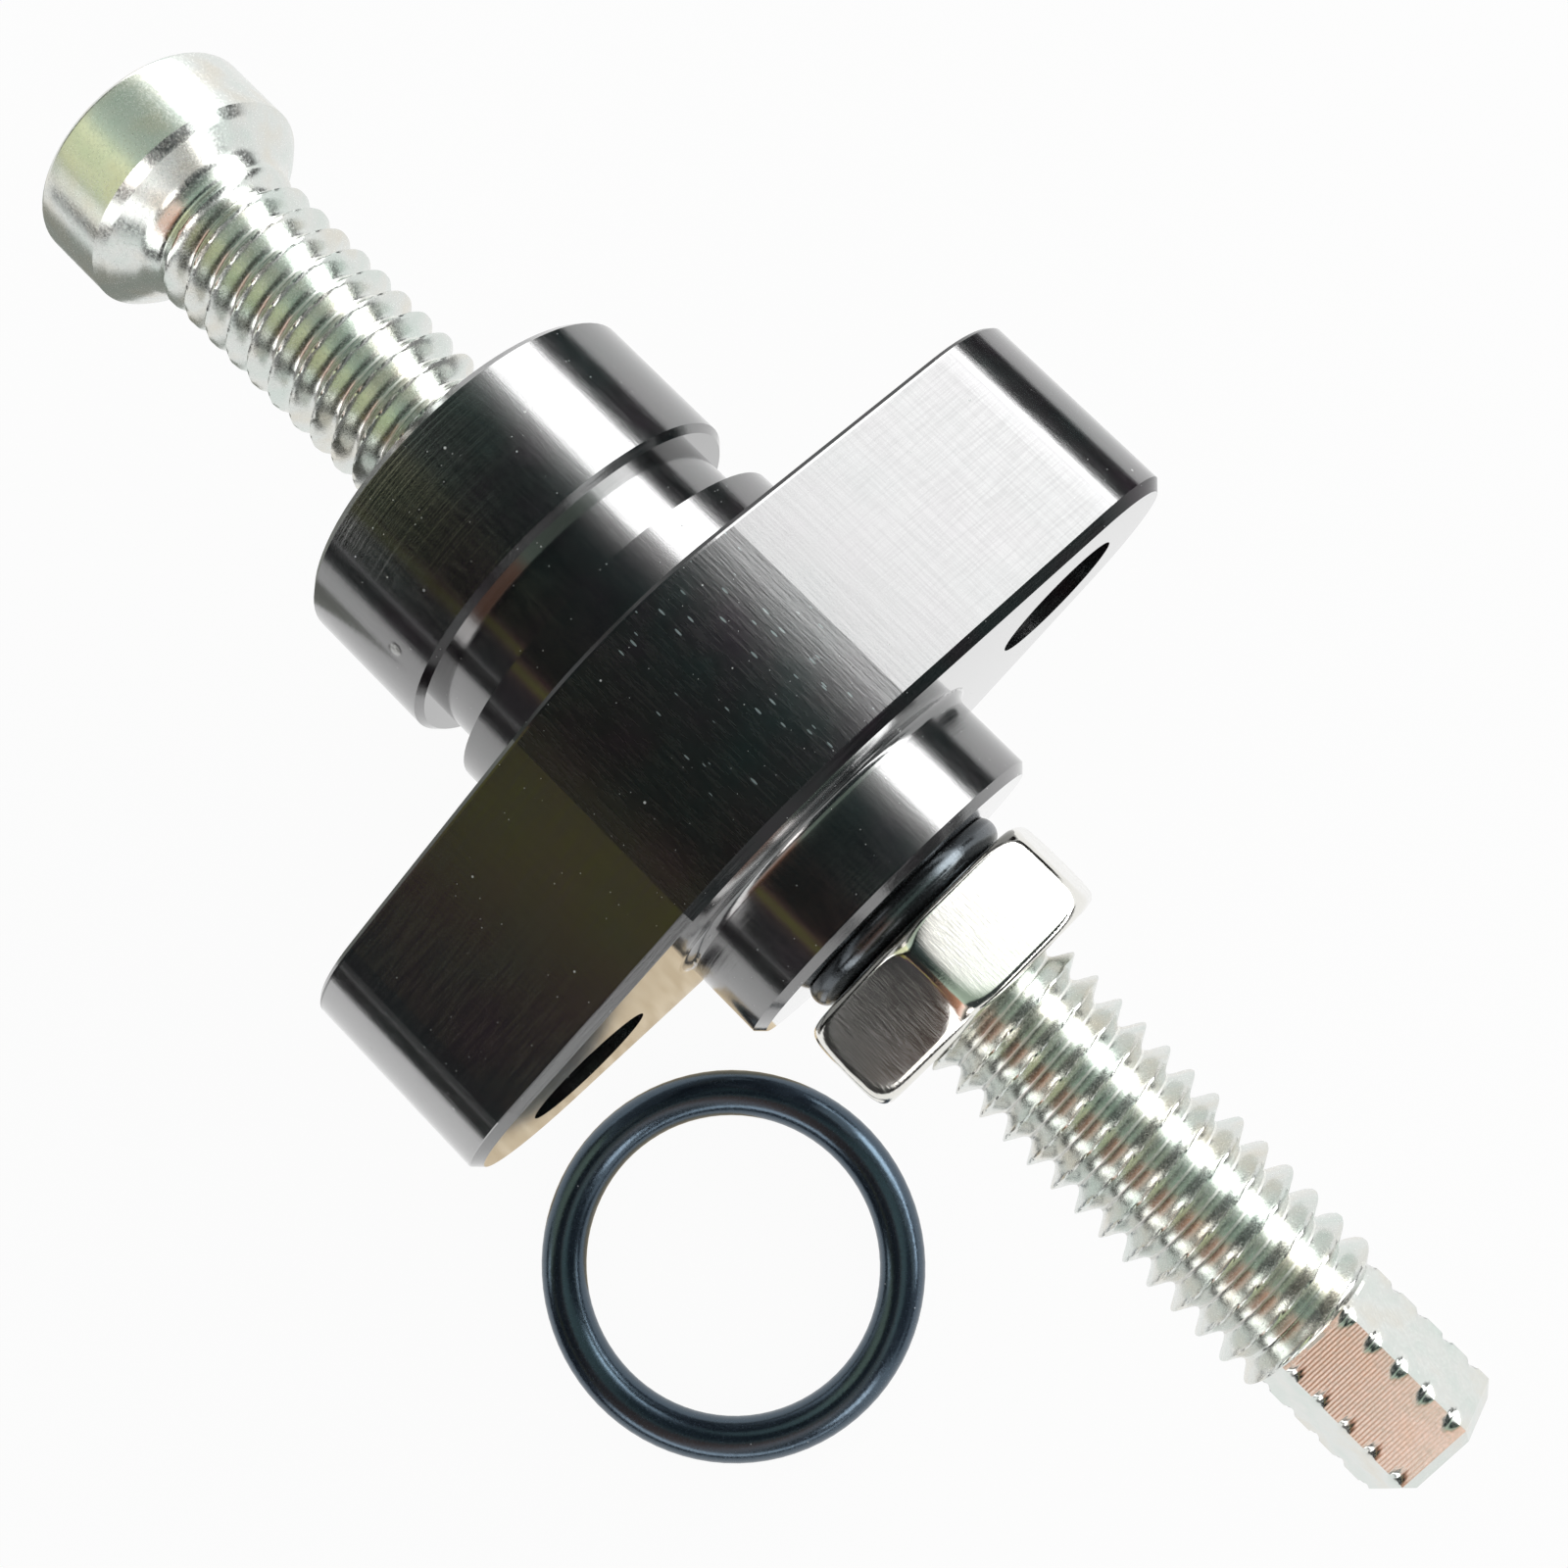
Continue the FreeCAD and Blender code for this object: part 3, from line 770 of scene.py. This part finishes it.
def rubber(name, dark, pale, tint, roughness):
    """Moulded black rubber with a satin skin, fine pits and a few pale specks, partly dusty and partly
    painted sparkles.
    """
    dust_and_sparkle_grey = (0.5, 0.52, 0.55)
    low, high = roughness
    material, tree, shader = new_material(name)
    pits = grain(tree, 9.0, 2.0)
    cloud = grain(tree, 0.6, 2.0)
    skin = ramp(tree, cloud, [(0.3, dark), (0.7, pale)])
    # Pale specks: partly dust, partly painted sparkles
    dust_and_sparkles = specks(tree, 1.1, 0.05, 0.18)
    set_inputs(shader, Metallic=0.0, IOR=2.0, Specular_Tint=(*tint, 1.0))
    tree.links.new(mixed(tree, dust_and_sparkles, skin, dust_and_sparkle_grey), shader.inputs["Base Color"])
    tree.links.new(ramp(tree, pits, [(0.3, low), (0.7, high)]), shader.inputs["Roughness"])
    tree.links.new(bump_chain(tree, [(pits, 0.003, None)]), shader.inputs["Normal"])
    return material


def seal_rubber():
    """Neutral black rubber of the seal behind the nut."""
    return rubber(
        "seal_rubber",
        dark=(0.012, 0.013, 0.014),
        pale=(0.02, 0.021, 0.022),
        tint=(0.78, 0.9, 1.0),
        roughness=(0.14, 0.3),
    )


def ring_rubber():
    """Blue-black rubber of the loose ring."""
    return rubber(
        "ring_rubber",
        dark=(0.008, 0.013, 0.021),
        pale=(0.014, 0.02, 0.031),
        tint=(0.55, 0.78, 1.0),
        roughness=(0.17, 0.28),
    )


def paint_node(name, material):
    """Gives a CAD node its finished material."""
    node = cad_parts[name]
    node.data.materials.clear()
    node.data.materials.append(material)


# Studio, in metres; a lean is in degrees from straight up, towards +Y

WHITE = (1.0, 1.0, 1.0, 1.0)
FLOOR_REACH = 3.0
FLOOR_COLOUR = (0.9, 0.9, 0.9, 1.0)
# Share of the floor's look that is its own glow; the rest keeps the shadow
FLOOR_GLOW = 0.95
WORLD_FILL = 0.4
TENT_RADIUS = 0.3
TENT_HALF_LENGTH = 0.8
TENT_LOW = -80
TENT_HIGH = 66
TENT_STEPS = 46
TENT_PEAK = 5.6
# Colour of the lining along X on the +Y side: pale green over both threads, dark past head and tail
UPPER_HUES = [
    (-0.5, (0.06, 0.07, 0.06)),
    (-0.32, (0.56, 0.62, 0.50)),
    (-0.2, (0.52, 0.62, 0.53)),
    (-0.13, (0.50, 0.64, 0.54)),
    (-0.02, (0.20, 0.24, 0.22)),
    (0.04, (0.46, 0.58, 0.48)),
    (0.1, (0.48, 0.60, 0.50)),
    (0.13, (0.48, 0.60, 0.50)),
    (0.17, (0.05, 0.06, 0.06)),
    (0.56, (0.05, 0.06, 0.06)),
    (0.68, (0.60, 0.62, 0.60)),
]
# The same on the -Y side: khaki over the front thread, copper over the rear one
LOWER_HUES = [
    (-0.5, (0.06, 0.06, 0.05)),
    (-0.32, (0.70, 0.73, 0.48)),
    (-0.13, (0.78, 0.82, 0.55)),
    (-0.02, (0.12, 0.13, 0.11)),
    (0.04, (0.24, 0.12, 0.08)),
    (0.09, (0.50, 0.26, 0.17)),
    (0.12, (0.92, 0.62, 0.53)),
    (0.17, (1.00, 0.80, 0.71)),
    (0.24, (0.30, 0.28, 0.25)),
    (0.34, (0.06, 0.05, 0.05)),
    (0.56, (0.06, 0.05, 0.05)),
    (0.68, (0.60, 0.58, 0.56)),
]
# Leans between which the one turns into the other
HUES_MEET = [(-18, 0.0), (-9, 1.0)]
# Share of that colour by lean
LINING_SHADES = [
    (-80, 0.2),
    (-62, 0.4),
    (-55, 1.0),
    (-30, 1.05),
    (-20, 1.3),
    (-10, 1.1),
    (6, 0.8),
    (26, 0.7),
    (44, 0.8),
    (66, 0.8),
]
# Dark stretch over the body, between two X: black, with an olive and two plum stripes low on the -Y side
DARK_X = (-0.138, 0.018)
DARK_BANDS = [
    (-80, (0.05, 0.05, 0.05)),
    (-61, (0.05, 0.05, 0.055)),
    (-58, (0.08, 0.05, 0.08)),
    (-57, (0.24, 0.07, 0.19)),
    (-56, (0.30, 0.31, 0.06)),
    (-52, (0.28, 0.31, 0.07)),
    (-50.5, (0.26, 0.08, 0.16)),
    (-48, (0.02, 0.02, 0.02)),
    (8, (0.02, 0.03, 0.03)),
    (26, (0.06, 0.08, 0.08)),
    (40, (0.20, 0.20, 0.19)),
]
# Degrees by which its stripes rise with each metre of X, and the X where they stand as given
DARK_SKEW = 33
DARK_SKEW_FROM = -0.07
# Share of its colours along X, less over the front boss
DARK_REACH = [(-0.1, 0.2), (-0.075, 1.0)]
# White next to the softbox, as a share of its strength, and how far along X it reaches
LINING_WHITES = [(28, 0.0), (36, 0.03), (43, 0.13), (47.5, 0.2), (50, 1.0), (66, 1.0)]
WHITE_REACH = [(0.11, 1.0), (0.15, 0.0)]
# Degrees by which that white starts later over the head, and where along X it does
WHITE_DELAY = 8
WHITE_DELAY_REACH = [(-0.17, 1.0), (-0.12, 0.0)]
# White low on the -Y side, clear of the body and the nut
LOW_WHITES = [(-80, 0.5), (-65, 0.5), (-59, 0.0)]
LOW_WHITE_REACH = [
    (-0.2, 0.15),
    (-0.175, 1.0),
    (-0.15, 1.0),
    (-0.14, 0.0),
    (0.035, 0.0),
    (0.045, 1.0),
]
# Pale window at the far end, which the loose ring reflects
WINDOW_X = (0.33, 0.66)
WINDOW_LEAN = (-34, -11)
WINDOW_COLOUR = (1.0, 0.95, 0.93)
# Lean of the softbox's lower edge, and its share of the tent's length
LAMP_TO = 80
LAMP_SHARE = 0.75
# Upright black flags along the part, as Y and X ends, and the one across its far end
FLAG_END_X = 0.16
FLAG_END_Y = (0.002, 0.09)
FLAG_END_TOP = 0.025
FLAGS = {
    "flag_near": (0.06, (-0.055, 0.02)),
    "flag_corner": (0.09, (0.08, FLAG_END_X)),
    "flag_far": (-0.15, (-0.13, TENT_HALF_LENGTH)),
}
# Cards on the floor, as X ends, Y sides and two shades; their lift is in millimetres. The tan and grey ones
# are painted shadow of the part on the floor, seen only in reflections
CARDS = {
    "shadow_card_tan": ((0.0104, 0.017), (-0.024, -0.0085), ((0.62, 0.50, 0.34), (0.80, 0.68, 0.50))),
    "shadow_card_grey": ((-0.062, -0.02), (-0.045, -0.0095), ((0.24, 0.25, 0.23), (0.34, 0.35, 0.32))),
    "card_black": ((0.07, 0.158), (0.018, 0.062), ((0.03, 0.03, 0.03), (0.05, 0.05, 0.05))),
}
CARD_LIFT = 0.05


def stage_mesh(name, points, faces, material):
    """A piece of the studio, which isn't part of the object."""
    mesh = bpy.data.meshes.new(name)
    mesh.from_pydata(points, [], faces)
    mesh.materials.append(material)
    sheet = bpy.data.objects.new(name, mesh)
    bpy.context.scene.collection.objects.link(sheet)
    return sheet


def level_sheet(name, ends, sides, level, material):
    """Level quad between two X and two Y, at a height in millimetres."""
    near, far = ends
    low_side, high_side = sides
    outline = [(near, low_side), (far, low_side), (far, high_side), (near, high_side)]
    corners = [(x, y, level * MM) for x, y in outline]
    return stage_mesh(name, corners, [(0, 1, 2, 3)], material)


def upright_sheet(name, start, stop, top, material):
    """Upright quad on the floor between two points of X and Y."""
    bottom = FLOOR_LEVEL * MM
    corners = [(*start, bottom), (*stop, bottom), (*stop, top), (*start, top)]
    return stage_mesh(name, corners, [(0, 1, 2, 3)], material)


def only_in_reflections(thing):
    """Lets a sheet shape the reflections and take no light away."""
    thing.visible_camera = False
    thing.visible_diffuse = False
    thing.visible_shadow = False
    thing.visible_transmission = False


def seen_share(tree):
    """1 for camera, glossy and transmission rays, which all see the pale background."""
    path = add_node(tree, "ShaderNodeLightPath")
    direct = greatest(tree, path.outputs["Is Camera Ray"], path.outputs["Is Glossy Ray"])
    return greatest(tree, direct, path.outputs["Is Transmission Ray"])


def make_floor():
    """White sheet that keeps a faint shadow."""
    material, tree, shader = new_material("floor_white")
    tree.nodes.remove(shader)
    matte = add_node(tree, "ShaderNodeBsdfDiffuse")
    set_inputs(matte, Color=FLOOR_COLOUR)
    glow = add_node(tree, "ShaderNodeEmission")
    set_inputs(glow, Color=WHITE, Strength=1.0)
    share = product(tree, seen_share(tree), FLOOR_GLOW)
    surface = blended(tree, share, matte.outputs["BSDF"], glow.outputs["Emission"])
    tree.links.new(surface, tree.nodes["Material Output"].inputs["Surface"])
    reach = (-FLOOR_REACH, FLOOR_REACH)
    level_sheet("floor", reach, reach, FLOOR_LEVEL, material)


def make_world():
    """White surroundings, at full strength only where they are seen."""
    world = bpy.data.worlds.new("studio")
    bpy.context.scene.world = world
    world.use_nodes = True
    tree = world.node_tree
    fill = tree.nodes["Background"]
    set_inputs(fill, Color=WHITE, Strength=WORLD_FILL)
    seen = add_node(tree, "ShaderNodeBackground")
    set_inputs(seen, Color=WHITE, Strength=1.0)
    surface = blended(tree, seen_share(tree), fill.outputs["Background"], seen.outputs["Background"])
    tree.links.new(surface, tree.nodes["World Output"].inputs["Surface"])


def lining_colours(tree, x, lean):
    """Coloured cloth over the threads, with the dark stretch over the body."""
    side = scaled_ramp(tree, lean, HUES_MEET)
    hue = mixed(tree, side, scaled_ramp(tree, x, LOWER_HUES), scaled_ramp(tree, x, UPPER_HUES))
    coloured = emission(tree, hue, scaled_ramp(tree, lean, LINING_SHADES))
    rise = product(tree, math_node(tree, "SUBTRACT", x, DARK_SKEW_FROM), DARK_SKEW)
    skewed = math_node(tree, "SUBTRACT", lean, rise)
    dark = emission(tree, scaled_ramp(tree, skewed, DARK_BANDS), scaled_ramp(tree, x, DARK_REACH))
    return blended(tree, between(tree, x, *DARK_X), coloured, dark)


def lining_whites(tree, x, lean):
    """White of the lining: beside the softbox, low on the -Y side and in the window."""
    delay = product(tree, scaled_ramp(tree, x, WHITE_DELAY_REACH), WHITE_DELAY)
    delayed = math_node(tree, "SUBTRACT", lean, delay)
    high_white = product(tree, scaled_ramp(tree, delayed, LINING_WHITES), scaled_ramp(tree, x, WHITE_REACH))
    low_white = product(tree, scaled_ramp(tree, lean, LOW_WHITES), scaled_ramp(tree, x, LOW_WHITE_REACH))
    in_window = product(tree, between(tree, x, *WINDOW_X), between(tree, lean, *WINDOW_LEAN))
    pale = mixed(tree, in_window, grey(1.0), WINDOW_COLOUR)
    share = greatest(tree, math_node(tree, "ADD", high_white, low_white), in_window)
    return emission(tree, pale, product(tree, share, TENT_PEAK))


def lining_material():
    """Glow of the tent's lining, by X and by lean."""
    material, tree, shader = new_material("tent_lining")
    tree.nodes.remove(shader)
    place = add_node(tree, "ShaderNodeTexCoord")
    split = add_node(tree, "ShaderNodeSeparateXYZ")
    tree.links.new(place.outputs["Object"], split.inputs["Vector"])
    x = split.outputs["X"]
    angle = math_node(tree, "ARCTAN2", split.outputs["Y"], split.outputs["Z"])
    lean = math_node(tree, "DEGREES", angle, 0.0)
    both = add_node(tree, "ShaderNodeAddShader")
    tree.links.new(lining_colours(tree, x, lean), both.inputs[0])
    tree.links.new(lining_whites(tree, x, lean), both.inputs[1])
    tree.links.new(both.outputs["Shader"], tree.nodes["Material Output"].inputs["Surface"])
    material.cycles.emission_sampling = "NONE"
    return material


def make_lining():
    """Arched lining over the part, open on the softbox's side."""
    points = []
    faces = []
    for i in range(TENT_STEPS + 1):
        lean = math.radians(TENT_LOW + (TENT_HIGH - TENT_LOW) * i / TENT_STEPS)
        for x in (-TENT_HALF_LENGTH, TENT_HALF_LENGTH):
            points.append((x, TENT_RADIUS * math.sin(lean), TENT_RADIUS * math.cos(lean)))
        if i:
            here = 2 * i
            faces.append((here - 2, here - 1, here + 1, here))
    only_in_reflections(stage_mesh("tent_lining", points, faces, lining_material()))


def flag_cloth():
    """Black cloth of the flags."""
    material, tree, shader = new_material("flag_black")
    weave = grain(tree, 0.5, 2.0)
    tree.links.new(ramp(tree, weave, [(0.3, 0.012), (0.7, 0.02)]), shader.inputs["Base Color"])
    set_inputs(shader, Roughness=1.0)
    return material


def make_flags():
    """Black sheets on the floor: three along the part, as high as the lamp's edge, one across its end."""
    black = flag_cloth()
    for name, (y, (start, stop)) in FLAGS.items():
        top = abs(y) / math.tan(math.radians(LAMP_TO))
        only_in_reflections(upright_sheet(name, (start, y), (stop, y), top, black))
    low_side, high_side = FLAG_END_Y
    near, far = (FLAG_END_X, low_side), (FLAG_END_X, high_side)
    only_in_reflections(upright_sheet("flag_end", near, far, FLAG_END_TOP, black))


def card_paper(name, dark, pale):
    """Glowing paper between two shades."""
    material, tree, shader = new_material(name)
    tree.nodes.remove(shader)
    fibres = grain(tree, 1.5, 2.0)
    paper = ramp(tree, fibres, [(0.35, dark), (0.65, pale)])
    tree.links.new(emission(tree, paper, 1.0), tree.nodes["Material Output"].inputs["Surface"])
    material.cycles.emission_sampling = "NONE"
    return material


def make_cards():
    """Cards on the floor, each mirrored by a piece near it; the tan and grey ones are painted shadow."""
    for name, (ends, sides, (dark, pale)) in CARDS.items():
        paper = card_paper(name, dark, pale)
        only_in_reflections(level_sheet(name, ends, sides, FLOOR_LEVEL + CARD_LIFT, paper))


def make_softbox():
    """Long area lamp whose reflection is the white strip along the turned surfaces."""
    lamp = bpy.data.lights.new("softbox", "AREA")
    lamp.shape = "RECTANGLE"
    half = math.radians(LAMP_TO - TENT_HIGH) / 2
    middle = math.radians(LAMP_TO + TENT_HIGH) / 2
    lamp.size = 2 * TENT_HALF_LENGTH * LAMP_SHARE
    lamp.size_y = 2 * TENT_RADIUS * math.sin(half)
    lamp.energy = TENT_PEAK * math.pi * lamp.size * lamp.size_y
    box = bpy.data.objects.new("softbox", lamp)
    box.location = (0.0, TENT_RADIUS * math.sin(middle), TENT_RADIUS * math.cos(middle))
    facing = box.location.normalized()
    along = Vector((1.0, 0.0, 0.0))
    box.rotation_euler = Matrix((along, facing.cross(along), facing)).transposed().to_euler()
    box.visible_camera = False
    bpy.context.scene.collection.objects.link(box)


def make_camera():
    """The photograph's camera, found by fitting the thread, rims and holes."""
    eye = Vector((19.44, 0.26, 89.10)) * MM
    level_right = Vector((0.99089, -0.01320, -0.13399))
    level_up = Vector((0.01309, 0.99991, -0.00177))
    roll = math.radians(45.6636)
    photo_pixels = 1600
    focal_pixels = 2085.85
    sensor = 36.0
    nearest = 1.0
    right = (math.cos(roll) * level_right + math.sin(roll) * level_up).normalized()
    up = (math.cos(roll) * level_up - math.sin(roll) * level_right).normalized()
    back = right.cross(up).normalized()
    data = bpy.data.cameras.new("photo_camera")
    data.sensor_fit = "HORIZONTAL"
    data.sensor_width = sensor
    data.lens = sensor * focal_pixels / photo_pixels
    data.clip_start = nearest * MM
    camera = bpy.data.objects.new("photo_camera", data)
    camera.matrix_world = Matrix.Translation(eye) @ Matrix((right, up, back)).transposed().to_4x4()
    bpy.context.scene.collection.objects.link(camera)
    bpy.context.scene.camera = camera


bpy.context.scene.view_settings.view_transform = "Standard"
make_camera()
make_world()
make_floor()
make_lining()
make_flags()
make_cards()
make_softbox()
make_bolt()
make_nut()
paint_node("tensioner_body", black_anodised())
paint_node("thread_seal", seal_rubber())
paint_node("base_o_ring", ring_rubber())
